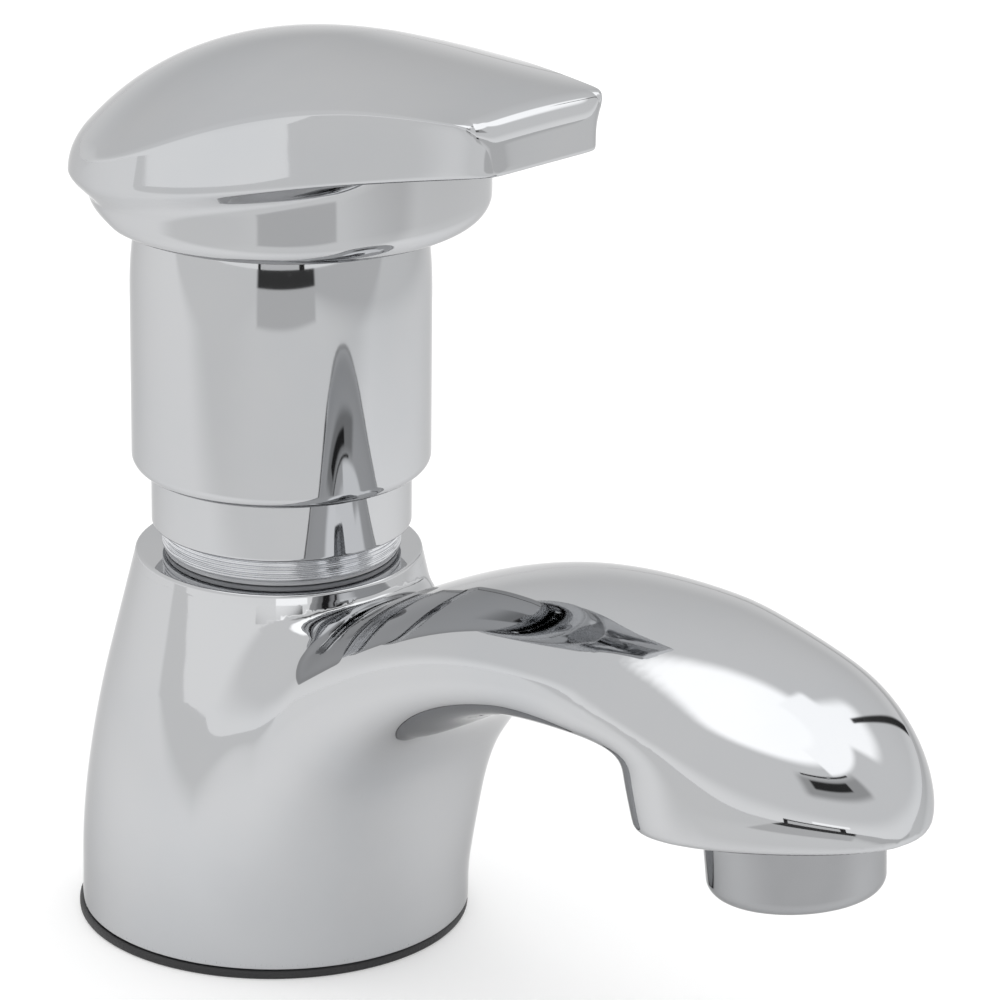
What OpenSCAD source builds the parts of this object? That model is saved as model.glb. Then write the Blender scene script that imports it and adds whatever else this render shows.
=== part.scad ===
// Push timed deck tap: pressing the handle opens the valve, a spring and a metering piston close it.
// Millimetres, +Z up, spout along +X. The origin is on the valve axis at the deck face.

/* [Body] */
// Outer radius of the body at its base
base_r = 27.4; // [26.5:0.1:28.5]
// Shift of the casting's axis from the valve axis, along X
body_shift = -1.4; // [-1.6:0.1:0]
// Height of the upright lower wall
wall_z = 9.5; // [6:0.5:12]
// Height at which the straight cone starts
cone_z = 38.5; // [36:0.5:41]
// Height of the upper lip
lip_z = 54.3; // [54:0.1:54.6]
// Outer radius of the upper lip
lip_r = 19.9; // [19.6:0.1:20.5]
// Half angle of the cone, in degrees
cone_angle = 13.2; // [12:0.1:14]
// Rounding of the lip's outer edge
lip_round = 0.5; // [0.3:0.1:0.8]

/* [Spout] */
// Distance from the valve axis to the outlet
reach = 97.6; // [94:0.2:101]
// Height of the outlet rim under the spout's head
rim_z = 44.1; // [43.5:0.1:44.6]
// Forward tilt of the outlet, in degrees
outlet_tilt = 5; // [3:0.5:7]
// Height of the crown of the arch
arch_z = 66.6; // [66:0.2:68]
// Height of the underside of the arch
under_z = 50.4; // [49.6:0.2:51.2]
// Front end of the head
nose_x = 117.6; // [116.6:0.2:119]
// Half width of the head at the rim
head_w = 18.3; // [17.8:0.1:19]
// Half width of the arch
arch_w = 18.6; // [18:0.1:19]
// Half width of the spout's root
root_w = 20; // [19:0.1:20.5]

/* [Waterway] */
// Radius of the spout's waterway
way_r = 4.6; // [4:0.1:4.8]
// Radius of the inlet waterway
inlet_r = 7; // [6.5:0.1:7.4]

/* [Neck] */
// Radius of the bonnet's bright turned neck
neck_r = 16.6; // [16.3:0.1:16.9]
// Radius of the guide collar
collar_r = 18.08; // [17.9:0.02:18.2]
// Height of the collar's lower edge
collar_z = 58.4; // [58:0.1:58.8]

/* [Sleeve] */
// Outer radius of the sleeve
sleeve_r = 20.75; // [20.5:0.05:21]
// Height of the sleeve's lower edge at rest
sleeve_z = 66.8; // [66.4:0.1:67]
// Height of the sleeve's top at rest
sleeve_top = 105.7; // [105.5:0.05:105.8]
// Rounding of the sleeve's lower edge
sleeve_round = 1.8; // [1.2:0.1:2]

/* [Handle] */
// Front face of the handle
handle_x = 50.9; // [49:0.1:52]
// Height of the handle's crown
handle_z = 130; // [129:0.2:131]
// Radius of the handle's round back
handle_r = 28.5; // [28:0.1:28.8]
// Height of the cup's lower rim
cup_z = 103.6; // [103.2:0.1:104]
// Radius of the cup's wall
cup_r = 28; // [27.4:0.1:28.2]
// Forward shift of the cup
cup_shift = 1.2; // [0.8:0.1:1.6]

/* [Valve] */
// Push travel of the handle
travel = 7; // [5:0.5:7]
// Radius of the stem
stem_r = 4; // [3.8:0.05:4.2]
// Radius of the cartridge's bore
cyl_r = 10; // [9.9:0.05:10.1]
// Turns of the return spring
spring_turns = 6; // [5:1:7]
// Radius of the spring's wire
wire_r = 0.9; // [0.8:0.05:1]

/* [Outlet] */
// Radius of the outlet nozzle's thread
nozzle_r = 12; // [11.8:0.05:12.1]
// Height of the nozzle below the rim
nozzle_h = 10.2; // [9.5:0.1:11]

/* [Shank] */
// Major radius of the inlet thread
shank_r = 10.4775; // [10.4:0.0025:10.55]
// Length of the shank below the deck face
shank_h = 50; // [46:1:60]
// Thickness of the deck that the tap is clamped to
deck_h = 20; // [16:1:22]
// Width across the locknut's flats
nut_w = 30; // [28:0.5:34]

/* [Clearances] */
// Radial gap in a screwed joint
thread_gap = 0.05; // [0.02:0.01:0.08]
// Radial gap in a sliding fit
slide_gap = 0.05; // [0.02:0.01:0.08]
// Gap between pieces that only pass each other
free_gap = 0.35; // [0.3:0.01:0.4]
// Gap between faces that are clamped together
face_gap = 0.05; // [0.02:0.01:0.06]

/* [Hidden] */
$fn = 96;

chrome = "#d4d6d9";
brass = "#c9a54c";
steel = "#a9adb1";
rubber = "#222326";
plastic = "#e4e2da";

gasket_h = 1.4;
shank_top = 12;
inlet_chamber_r = 9;
seat_floor = 26;
chamber_r = 13;
thread_floor = 43;
thread_r = 15;

seat_h = 4;
seat_bore_r = 5.2;
seat_face = seat_floor - 2.6;
cartridge_r = 12.6;
bush_r = 8;
bonnet_roof = 65.8;
barrel_r = 15;
barrel_top = 77;
spring_top = sleeve_top - 14.7;
spring_r = 9.2;
clip_h = 1.2;
stem_top = sleeve_top + 11.3;
stud_r = 2.45;
piston_z = 39;
piston_h = 6;
screw_z = sleeve_top + 3.6;
boss_r = 9;
cavity_top = sleeve_top + 6.3;

// Uniform cubic spline through the first and last of its control points
function grown(p) = concat([2 * p[0] - p[1]], p, [2 * p[len(p) - 1] - p[len(p) - 2]]);
function cubic(a, b, c, d, f) =
    ((1 - f) ^ 3 * a + (3 * f ^ 3 - 6 * f ^ 2 + 4) * b
    + (-3 * f ^ 3 + 3 * f ^ 2 + 3 * f + 1) * c + f ^ 3 * d) / 6;
function spline(p, t) =
    let (q = grown(p), n = len(p) - 1, s = min(floor(t * n), n - 1))
    cubic(q[s], q[s + 1], q[s + 2], q[s + 3], t * n - s);

function spread(v, n) = sign(v) * abs(v) ^ (2 / n);
function tanh(v) = (exp(2 * v) - 1) / (exp(2 * v) + 1);
function arc(c, r, from, to, n) =
    [for (i = [0 : n]) let (g = from + (to - from) * i / n) [c[0] + r * cos(g), c[1] + r * sin(g)]];

// Closed skin over a list of rings of equal length, with flat or pointed ends
module skin(rings) {
    m = len(rings[0]);
    k = len(rings);
    points = [for (ring = rings) for (p = ring) p];
    sides = [for (j = [0 : k - 2]) for (i = [0 : m - 1])
        let (a = j * m + i, b = j * m + (i + 1) % m) each [[a, b + m, b], [a, a + m, b + m]]];
    first = [for (i = [0 : m - 1]) i];
    last = [for (i = [m - 1 : -1 : 0]) (k - 1) * m + i];
    polyhedron(points, concat(sides, [first], [last]), convexity = 8);
}

module ring(outer, inner, z0, z1) {
    translate([0, 0, z0])
        difference() {
            cylinder(r = outer, h = z1 - z0);
            translate([0, 0, -1])
                cylinder(r = inner, h = z1 - z0 + 2);
        }
}

module rod(r, z0, z1) {
    translate([0, 0, z0])
        cylinder(r = r, h = z1 - z0);
}

module torus(major, minor, z) {
    translate([0, 0, z])
        rotate_extrude()
            translate([major, 0])
                circle(r = minor, $fn = 48);
}

// Cylinder between two points of the XZ plane
module pipe(p, q, r) {
    d = q - p;
    translate([p[0], 0, p[1]])
        rotate([0, atan2(d[0], d[1]), 0])
            cylinder(r = r, h = norm(d));
}

// The outlet rim lies in a tilted plane, which has the height rim_z at rim_x
rim_x = 95;
rim_slope = tan(outlet_tilt);
function rim_at(x) = rim_z + (x - rim_x) * rim_slope;

// The tilted frame of the outlet, with its origin in the middle of the rim and +Z up the bore
module at_outlet() {
    translate([reach, 0, rim_at(reach)])
        rotate([0, -outlet_tilt, 0])
            children();
}

// Wall of the body: upright at the base, one large arc, then the cone to the lip
cone_foot = lip_r + (lip_z - cone_z) * tan(cone_angle);
function wall_r(z) =
    z < wall_z ? base_r
    : z < cone_z ? base_r - (base_r - cone_foot) * ((z - wall_z) / (cone_z - wall_z)) ^ 1.75
    : lip_r + (lip_z - z) * tan(cone_angle);
wall_steps = 8;
function wall_line() = [for (i = [0 : wall_steps])
    let (z = wall_z + (cone_z - wall_z) * i / wall_steps) [wall_r(z), z]];

// Upper and lower rails of the spout in the XZ plane, and its half width along them
top_rail = [[4, 45], [17, 49], [33, arch_z - 8], [52, arch_z - 0.6], [72, arch_z + 1],
    [90, arch_z], [105, arch_z - 4.7], [nose_x - 2.6, rim_at(nose_x) + 8.2],
    [nose_x - 0.2, rim_at(nose_x) + 1.2], [nose_x, rim_at(nose_x - 1)]];
low_rail = [[6, 6], [20, 9], [25.7, 21.1], [31.5, under_z - 15.2], [45, under_z - 5.2],
    [61, under_z - 1.2], [77.2, under_z + 1], [76.8, rim_z + 4.5], [79.7, rim_at(79) + 0.6],
    [79.8, rim_at(80.6)]];
half_width = [root_w, root_w, root_w - 0.5, arch_w + 0.4, arch_w,
    arch_w, arch_w, head_w + 0.4, head_w + 0.5, head_w - 0.9];
spout_rings = 40;
ring_points = 48;
function spout_ring(t) =
    let (a = spline(top_rail, t), b = spline(low_rail, t), w = spline(half_width, t),
        mid = (a + b) / 2, half = (a - b) / 2, egg = 0.06 + 0.3 * t ^ 4)
    [for (i = [0 : ring_points - 1])
        let (g = 360 * i / ring_points, s = spread(sin(g), sin(g) > 0 ? 2 : 2.4),
            x = mid[0] + half[0] * s, z = mid[1] + half[1] * s)
        [x, w * spread(cos(g), 2.2) * (1 - egg * s), z]];

module spout() {
    skin([for (j = [0 : spout_rings]) spout_ring(j / spout_rings)]);
}

way_points = [[9, 35], [44, 51.3], [72, (arch_z + under_z) / 2],
    [reach - 3, arch_z - 12.8], [reach, rim_z + 4]];
module waterway() {
    for (i = [0 : 2])
        pipe(way_points[i], way_points[i + 1], way_r);
    for (i = [1 : 3])
        translate([way_points[i][0], 0, way_points[i][1]])
            sphere(r = way_r + 0.5);
    pipe(way_points[3], way_points[4], way_r - 0.2);
}

nozzle_socket = 10;
module body() {
    color(chrome)
        difference() {
            union() {
                translate([body_shift, 0, 0])
                    rotate_extrude()
                        polygon(concat([[0, gasket_h], [base_r - 0.5, gasket_h], [base_r, gasket_h + 0.5]],
                            wall_line(),
                            arc([lip_r - lip_round, lip_z - lip_round], lip_round, cone_angle, 90, 5),
                            [[0, lip_z]]));
                spout();
            }
            rod(shank_r + thread_gap, 0, shank_top);
            rod(inlet_chamber_r, shank_top - 1, seat_floor + 1);
            rod(chamber_r, seat_floor, thread_floor + 1);
            rod(thread_r, thread_floor, lip_z + 1);
            waterway();
            at_outlet()
                rod(nozzle_r + thread_gap, -6, nozzle_socket);
        }
}

module base_gasket() {
    color(rubber)
        difference() {
            translate([body_shift - 0.5, 0, 0])
                cylinder(r = base_r + 0.2, h = gasket_h - face_gap);
            rod(shank_r + 0.5, -1, gasket_h + 1);
        }
}

module inlet_shank() {
    color(brass)
        difference() {
            union() {
                rod(shank_r, 1 - shank_h, shank_top - face_gap);
                translate([0, 0, -shank_h])
                    cylinder(r1 = shank_r - 1, r2 = shank_r, h = 1);
            }
            rod(inlet_r, -shank_h - 1, shank_top + 1);
            ring(shank_r + 1, shank_r - 0.6, relief_z - 0.8, relief_z);
        }
}

washer_h = 2;
washer_r = 18;
module shank_washer() {
    color(steel)
        ring(washer_r, shank_r + 0.5, -deck_h - washer_h, -deck_h);
}

nut_h = 7;
nut_top = -deck_h - washer_h - face_gap;
// Relief groove that parts the free end of the thread from the locknut's end
relief_z = nut_top - nut_h - 0.1;
module locknut() {
    color(brass)
        translate([0, 0, nut_top - nut_h])
            difference() {
                intersection() {
                    cylinder(d = nut_w / cos(30), h = nut_h, $fn = 6);
                    cylinder(r1 = nut_w / 2 + 0.6, r2 = nut_w / 2 + 0.6 + nut_h, h = nut_h);
                }
                translate([0, 0, -1])
                    cylinder(r = shank_r + thread_gap, h = nut_h + 2);
            }
}

module inlet_screen() {
    color(plastic)
        difference() {
            rod(inlet_r - thread_gap, 3 - shank_h, 6 - shank_h);
            rod(inlet_r - 1.2, 2 - shank_h, 5 - shank_h);
            for (k = [0 : 2])
                for (i = [0 : max(0, 6 * k - 1)])
                    rotate([0, 0, 360 * i / max(1, 6 * k)])
                        translate([2.2 * k, 0, 2 - shank_h])
                            cylinder(r = 0.75, h = 6, $fn = 24);
        }
}

module valve_seat() {
    color(brass)
        difference() {
            union() {
                rod(chamber_r - 0.1, seat_floor + face_gap, seat_floor + seat_h);
                rod(inlet_chamber_r - 0.3, seat_face + 0.8, seat_floor + 1);
                rod(seat_bore_r + 1.2, seat_face, seat_floor);
            }
            rod(seat_bore_r, seat_face - 1, seat_floor + seat_h + 1);
        }
}

port_z = seat_floor + seat_h + 3;
module cartridge() {
    color(plastic)
        difference() {
            rod(cartridge_r, seat_floor + seat_h + face_gap, lip_z - face_gap);
            rod(cyl_r, seat_floor, lip_z + 1);
            for (z = o_ring_heights)
                ring(cartridge_r + 1, cartridge_r - 1.55, z - 1, z + 1);
            for (g = [0 : 60 : 300])
                rotate([0, 90, g])
                    translate([-port_z, 0, cyl_r - 1])
                        cylinder(r = 1.8, h = 4, $fn = 32);
        }
}

o_ring_heights = [37, 41];
o_ring_r = 0.9;
module lower_o_ring() {
    color(rubber)
        torus(chamber_r - o_ring_r - 0.04, o_ring_r, o_ring_heights[0]);
}
module upper_o_ring() {
    color(rubber)
        torus(chamber_r - o_ring_r - 0.04, o_ring_r, o_ring_heights[1]);
}

seal_h = 0.8;
module bonnet() {
    color(chrome)
        difference() {
            union() {
                rod(thread_r - thread_gap, thread_floor + 0.2, lip_z + 1);
                rod(neck_r, lip_z + seal_h + face_gap, collar_z);
                rod(barrel_r, collar_z - 1, barrel_top);
            }
            rod(cartridge_r + 0.2, thread_floor - 1, lip_z);
            rod(bush_r + thread_gap, lip_z - 1, bonnet_roof - 2);
            rod(stem_r + 0.6, lip_z, bonnet_roof + 1);
            rod(barrel_r - 2, bonnet_roof, barrel_top + 1);
        }
}

module bonnet_gasket() {
    color(plastic)
        ring(neck_r - 0.4, thread_r + 0.1, lip_z + face_gap, lip_z + seal_h);
}

collar_top = 79;
module guide_collar() {
    color(chrome)
        rotate_extrude()
            polygon(concat([[barrel_r + thread_gap, collar_z + face_gap]],
                arc([collar_r - 0.5, collar_z + 0.5 + face_gap], 0.5, -90, 0, 4),
                [[collar_r, collar_top - 1], [collar_r - 1, collar_top],
                [barrel_r + thread_gap, collar_top]]));
}

seal_z = 59;
module stem_bush() {
    color(plastic)
        difference() {
            union() {
                rod(bush_r, lip_z - 0.5, seal_z);
                rod(cyl_r - 0.2, lip_z - 2, lip_z - face_gap);
            }
            rod(stem_r + slide_gap, lip_z - 3, seal_z + 1);
        }
}

module stem_seal() {
    color(rubber)
        rotate_extrude()
            polygon([[stem_r + slide_gap, seal_z + face_gap], [bush_r, seal_z + face_gap],
                [bush_r, bonnet_roof - 2.2], [bush_r - 1, bonnet_roof - 2.2],
                [(stem_r + bush_r) / 2, seal_z + 2], [stem_r + 1, bonnet_roof - 2.2],
                [stem_r + slide_gap, bonnet_roof - 2.2]]);
}

nozzle_bore = 9.6;
module nozzle() {
    color(chrome)
        at_outlet()
            rotate_extrude()
                polygon(concat(
                    arc([nozzle_r - 2.4, 2 - nozzle_h], 2, -90, -5, 6),
                    [[nozzle_r - 0.05, -0.6], [nozzle_r - 0.05, nozzle_socket - 2],
                    [nozzle_bore, nozzle_socket - 2], [nozzle_bore, 1.2 - nozzle_h],
                    [nozzle_bore - 0.8, 0.4 - nozzle_h], [nozzle_bore - 0.8, -nozzle_h]]));
}

module nozzle_gasket() {
    color(rubber)
        at_outlet()
            ring(nozzle_r - 0.2, 7, nozzle_socket - 2 + face_gap, nozzle_socket - 0.1);
}

regulator_top = 6;
module flow_regulator() {
    color(plastic)
        at_outlet()
            difference() {
                rod(nozzle_bore - 0.1, 1.4 - nozzle_h, regulator_top);
                rod(nozzle_bore - 1.2, 3 - nozzle_h, regulator_top - 1.6);
                for (k = [0 : 3])
                    for (i = [0 : max(0, 6 * k - 1)])
                        rotate([0, 0, 360 * i / max(1, 6 * k)])
                            translate([2.4 * k, 0, -nozzle_h])
                                cylinder(r = 0.8, h = 4, $fn = 24);
                for (i = [0 : 7])
                    rotate([0, 0, 45 * i])
                        translate([5.2, 0, regulator_top - 3])
                            cylinder(r = 1.2, h = 4, $fn = 24);
            }
}

// Outline of the handle in plan, as a distance from the axis: a round back and a lip with a flat front
function soft_min(a, b, k) = -k * ln(exp(-a / k) + exp(-b / k));
function plan_r(g, round_r, lip, fall) =
    soft_min(handle_x / max(cos(g), 0.05), round_r + lip * exp(-abs(g) / fall), 0.5);
function plan(g, round_r, lip, fall) = plan_r(g, round_r, lip, fall) * [cos(g), sin(g)];
top_lip = 68.8;
top_fall = 12.9;
band_lip = 47;
band_fall = 14;
function top_plan(g) = plan(g, handle_r - 0.2 + 0.25 * (1 - cos(g)), top_lip, top_fall);
function band_plan(g) = plan(g, handle_r + 1.1 + cos(g), band_lip, band_fall);
function turn(t) = 180 * sign(t) * abs(t) ^ 1.7;

// Heights along X: the crease around the top, the ridge over the middle and the band's lower edge
handle_mid = 12;
back_drop = 18.2;
front_drop = 1.9;
band_drop = 18.7;
band_back = 21.7;
function crease_z(x) = handle_z - 10.3 + 8.35 * tanh(0.055 * (x - 7.3));
function ridge_z(x) =
    let (b = min(max((handle_mid - x) / (handle_mid + handle_r + 0.3), 0), 1),
        f = max(x - handle_mid, 0) / (handle_x - handle_mid))
    handle_z - back_drop * (1 - (1 - b ^ 1.92) ^ 0.72) - front_drop * f ^ 2.3;
function band_z(x) = -soft_min(band_drop - handle_z - 0.185 * x, band_back - handle_z, 1);

// The dome falls across the handle as the square of the place over the half width
half_places = [for (g = [180 : -2.5 : 12.5]) top_plan(g)];
function dome_z(x, y) =
    let (half = max(lookup(x, half_places), 0.5), ridge = ridge_z(x))
    ridge - (ridge - crease_z(x)) * min((y / half) ^ 2, 1);

// Share of the front's rounded edge at an angle
front_round = 1.2;
function front_part(g) = min(max((15.5 - abs(g)) / 4.5, 0), 1);

handle_points = 96;
handle_turns = [for (i = [0 : handle_points - 1]) turn(2 * i / handle_points - 1)];
function top_ring(s, drop) = [for (g = handle_turns)
    let (p = top_plan(g), x = handle_mid + (p[0] - handle_mid) * s, y = p[1] * s)
    [x, y, dome_z(x, y) - drop * front_part(g)]];
function band_ring(lift) = [for (g = handle_turns)
    let (p = band_plan(g)) [p[0], p[1], band_z(p[0]) + lift]];

// Underside from the band's edge in to the cup's wall, and the wall's rounded lower edge
cup_round = 2.4;
under_fall = 2.5;
function under_ring(f) = [for (g = handle_turns)
    let (p = band_plan(g), c = [cup_shift + cup_r * cos(g), cup_r * sin(g)], q = p + (c - p) * f)
    [q[0], q[1], max(band_z(p[0]) - under_fall * f, cup_z + cup_round + 0.8)]];
function cup_ring(b) = [for (g = handle_turns)
    let (r = cup_r - cup_round * (1 - cos(b)))
    [cup_shift + r * cos(g), r * sin(g), cup_z + cup_round * (1 - sin(b))]];

module handle_skin() {
    skin(concat(
        [for (b = [90 : -18 : 0]) cup_ring(b)],
        [under_ring(1), under_ring(0.5), under_ring(0.04)],
        [band_ring(0.8), top_ring(1, front_round)],
        [for (s = [0.975, 0.94, 0.9, 0.85, 0.78, 0.7, 0.61, 0.51, 0.4, 0.28, 0.15, 0.03]) top_ring(s, 0)]));
}

module handle() {
    color(chrome)
        difference() {
            handle_skin();
            difference() {
                rod(sleeve_r + 1, cup_z - 2, cavity_top);
                rod(boss_r, sleeve_top + face_gap, cavity_top + 1);
            }
            rod(stem_r + thread_gap, cup_z - 3, stem_top + 0.2);
            translate([-40, 0, screw_z])
                rotate([0, 90, 0])
                    cylinder(r = 2 + thread_gap, h = 40);
        }
}

module set_screw() {
    color(steel)
        translate([-boss_r - 0.5, 0, screw_z])
            rotate([0, 90, 0])
                difference() {
                    cylinder(r = 2, h = boss_r + 0.5 - stem_r - face_gap);
                    translate([0, 0, -1])
                        cylinder(r = 1.15, h = 3, $fn = 6);
                }
}

sleeve_bore = collar_r + free_gap;
sleeve_roof = sleeve_top - 2.7;
shoulder = 14;
module sleeve() {
    color(chrome)
        rotate_extrude()
            polygon(concat(
                [[stem_r + thread_gap, sleeve_roof], [sleeve_bore, sleeve_roof], [sleeve_bore, sleeve_z]],
                arc([sleeve_r - sleeve_round, sleeve_z + sleeve_round], sleeve_round, -90, 0, 6),
                [for (i = [0 : 6]) let (f = i / 6)
                    [sleeve_r - 1.4 * f ^ 2.2, sleeve_top - shoulder + (shoulder - 1) * f]],
                [[sleeve_r - 2.3, sleeve_top], [stem_r + thread_gap, sleeve_top]]));
}

groove_z = spring_top + 1.5 + face_gap;
module stem() {
    color(steel)
        difference() {
            union() {
                rod(stem_r, seat_face - face_gap, stem_top);
                rod(stud_r, seat_face - 7.8, seat_face);
            }
            ring(stem_r + 1, stem_r - 0.8, groove_z, groove_z + clip_h + 0.1);
        }
}

module spring_retainer() {
    color(steel)
        ring(12, stem_r + 0.05, spring_top, spring_top + 1.5);
}

module retainer_clip() {
    color(steel)
        translate([0, 0, groove_z + 0.05])
            difference() {
                cylinder(r = stem_r + 2.6, h = clip_h);
                translate([0, 0, -1])
                    cylinder(r = stem_r - 0.75, h = clip_h + 2);
                translate([0, -2.6, -1])
                    cube([stem_r + 4, 5.2, clip_h + 2]);
            }
}

// One unbroken wire wound as a helix with closed end turns
spring_floor = bonnet_roof + wire_r + 0.05;
spring_roof = spring_top - wire_r - 0.05;
spring_steps = 20;
wire_points = 8;
end_turns = 0.8;
function coil_lift(u) =
    let (n = spring_turns, closed = 2.6 * wire_r * end_turns, open = spring_roof - spring_floor - 2 * closed)
    spring_floor + (u < end_turns ? u / end_turns * closed
    : u > n - end_turns ? closed + open + (u - n + end_turns) / end_turns * closed
    : closed + open * (u - end_turns) / (n - 2 * end_turns));
echo(spring_least_gap = 2.6 * wire_r - 2 * wire_r);
module return_spring() {
    color(steel)
        skin([for (i = [0 : spring_turns * spring_steps])
            let (u = i / spring_steps, g = 360 * u, z = coil_lift(u))
            [for (j = [0 : wire_points - 1])
                let (b = -360 * j / wire_points, r = spring_r + wire_r * cos(b))
                [r * cos(g), r * sin(g), z + wire_r * sin(b)]]]);
}

seal_groove = [piston_z + 2, piston_z + 4.6];
module piston() {
    color(plastic)
        difference() {
            rod(cyl_r - 0.4, piston_z, piston_z + piston_h);
            rod(stem_r + 0.02, piston_z - 1, piston_z + piston_h + 1);
            ring(cyl_r + 1, cyl_r - 2.5, seal_groove[0], seal_groove[1]);
            translate([6, 0, piston_z - 1])
                cylinder(r = 0.6, h = piston_h + 2, $fn = 24);
        }
}

module piston_seal() {
    color(rubber)
        rotate_extrude()
            polygon([[cyl_r - 2.45, seal_groove[0] + 0.1], [cyl_r - 0.3, seal_groove[0] + 0.1],
                [cyl_r - slide_gap, seal_groove[1] - 0.9], [cyl_r - slide_gap, seal_groove[1] - 0.1],
                [cyl_r - 0.8, seal_groove[1] - 0.1], [cyl_r - 1.3, seal_groove[0] + 1.2],
                [cyl_r - 1.8, seal_groove[1] - 0.1], [cyl_r - 2.45, seal_groove[1] - 0.1]]);
}

washer_top = seat_face - face_gap;
module seat_washer() {
    color(rubber)
        ring(7.8, stud_r + 0.03, washer_top - 2.4, washer_top - 0.02);
}

module washer_plate() {
    color(brass)
        ring(6.6, stud_r + 0.03, washer_top - 3.95, washer_top - 2.42);
}

module washer_nut() {
    color(brass)
        translate([0, 0, washer_top - 6.9])
            difference() {
                cylinder(r = 4, h = 2.9, $fn = 6);
                translate([0, 0, -1])
                    cylinder(r = stud_r + 0.03, h = 5);
            }
}

body();
base_gasket();
inlet_shank();
shank_washer();
locknut();
inlet_screen();
valve_seat();
cartridge();
lower_o_ring();
upper_o_ring();
bonnet();
bonnet_gasket();
guide_collar();
stem_bush();
stem_seal();
nozzle();
nozzle_gasket();
flow_regulator();
handle();
set_screw();
sleeve();
stem();
spring_retainer();
retainer_clip();
return_spring();
piston();
piston_seal();
seat_washer();
washer_plate();
washer_nut();
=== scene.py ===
import math

import bpy
import numpy as np
from mathutils import Matrix


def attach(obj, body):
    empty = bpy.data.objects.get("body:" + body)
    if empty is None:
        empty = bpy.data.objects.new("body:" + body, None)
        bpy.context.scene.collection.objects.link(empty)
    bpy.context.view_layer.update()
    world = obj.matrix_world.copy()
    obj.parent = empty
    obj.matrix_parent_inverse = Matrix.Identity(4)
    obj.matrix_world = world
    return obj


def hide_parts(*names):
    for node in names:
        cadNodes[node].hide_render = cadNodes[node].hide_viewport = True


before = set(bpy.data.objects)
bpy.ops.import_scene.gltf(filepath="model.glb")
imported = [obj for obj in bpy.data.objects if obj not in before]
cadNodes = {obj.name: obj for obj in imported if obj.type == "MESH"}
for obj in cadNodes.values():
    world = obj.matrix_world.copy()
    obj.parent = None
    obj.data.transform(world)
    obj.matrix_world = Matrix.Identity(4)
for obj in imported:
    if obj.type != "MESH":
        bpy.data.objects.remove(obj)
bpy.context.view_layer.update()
scene = bpy.context.scene
mm = 0.001  # the pieces are worked out in millimetres
print("frame loaded:", len(cadNodes), "nodes")


# quads over a grid of points, rows by columns; the columns close into a ring, the rows too where loop is set
def gridFaces(rows, cols, loop=False):
    r = np.arange(rows if loop else rows - 1)[:, None]
    c = np.arange(cols)[None, :]
    up, on = (r + 1) % rows, (c + 1) % cols
    return np.stack([r * cols + c, r * cols + on, up * cols + on, up * cols + c], -1).reshape(-1, 4)


# one mesh object from points in millimetres, faces of one length or a list of such, and a normal for each point
def makePiece(name, points, faces, body, material, slotName, nodes, normals=None):
    mesh = bpy.data.meshes.new(name)
    points = np.asarray(points, float).reshape(-1, 3) * mm
    faces = faces if isinstance(faces, list) else [faces]
    sizes = np.concatenate([np.full(len(f), f.shape[1]) for f in faces])
    corners = np.concatenate([f.ravel() for f in faces])
    mesh.vertices.add(len(points))
    mesh.vertices.foreach_set("co", points.ravel())
    mesh.loops.add(len(corners))
    mesh.loops.foreach_set("vertex_index", corners)
    mesh.polygons.add(len(sizes))
    mesh.polygons.foreach_set("loop_start", np.concatenate([[0], np.cumsum(sizes)[:-1]]))
    mesh.polygons.foreach_set("use_smooth", np.ones(len(sizes), bool))
    mesh.update(calc_edges=True)
    mesh.validate()
    if normals is not None:
        mesh.normals_split_custom_set_from_vertices(normals)
    piece = bpy.data.objects.new(name, mesh)
    scene.collection.objects.link(piece)
    mesh.materials.append(material)
    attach(piece, body)
    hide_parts(*nodes)
    print("made", name, "with", len(sizes), "faces")
    return piece


# a chain of straight runs with rounded corners: a corner of radius r is cut back by r / tan(half its angle) and an arc
# goes in; each run has points close to its ends, so that the shading stays flat along it
def roundedChain(corners, steps=6, pitch=1.5, near=0.1):
    pts = [np.array(c[:2], float) for c in corners]
    arcs = []
    for i, p in enumerate(pts):
        r = corners[i][2] if len(corners[i]) > 2 else 0
        if r == 0 or i in (0, len(pts) - 1):
            arcs.append([p])
            continue
        u, v = pts[i - 1] - p, pts[i + 1] - p
        u, v = u / np.linalg.norm(u), v / np.linalg.norm(v)
        half = math.acos(np.clip(u @ v, -1, 1)) / 2
        mid = p + (u + v) / np.linalg.norm(u + v) * r / math.sin(half)
        a, b = p + u * r / math.tan(half) - mid, p + v * r / math.tan(half) - mid
        swing = math.acos(np.clip(a @ b / r ** 2, -1, 1))
        f = np.linspace(0, 1, steps + 1)[:, None]
        arcs.append(list(mid + (np.sin((1 - f) * swing) * a + np.sin(f * swing) * b) / math.sin(swing)))
    chain = []
    for arc in arcs:
        if chain:
            a, b = chain[-1], arc[0]
            run = np.linalg.norm(b - a)
            if run > 4 * near:
                inner = np.linspace(near, run - near, max(2, int(run / pitch) + 1))
                chain += [a + (b - a) * d / run for d in inner]
        chain += arc
    return np.array(chain)


# a profile of (radius, height) turned round an upright axis, whose place along X may change from row to row
def revolve(profile, turns=160, centreX=0.0, loop=False):
    g = np.linspace(0, 2 * np.pi, turns, endpoint=False)
    r, z = profile[:, :1], profile[:, 1:]
    cx = np.zeros((len(profile), 1)) + np.reshape(centreX, (-1, 1))
    points = np.stack([cx + r * np.cos(g), r * np.sin(g), z + 0 * g], -1)
    return points.reshape(-1, 3), gridFaces(len(profile), turns, loop)


# a closed profile: its last point is its first again, so that row is left out and the rows close into a loop
def turnedRing(corners, turns=160, steps=6):
    return revolve(roundedChain(corners, steps)[:-1], turns, loop=True)


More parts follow.
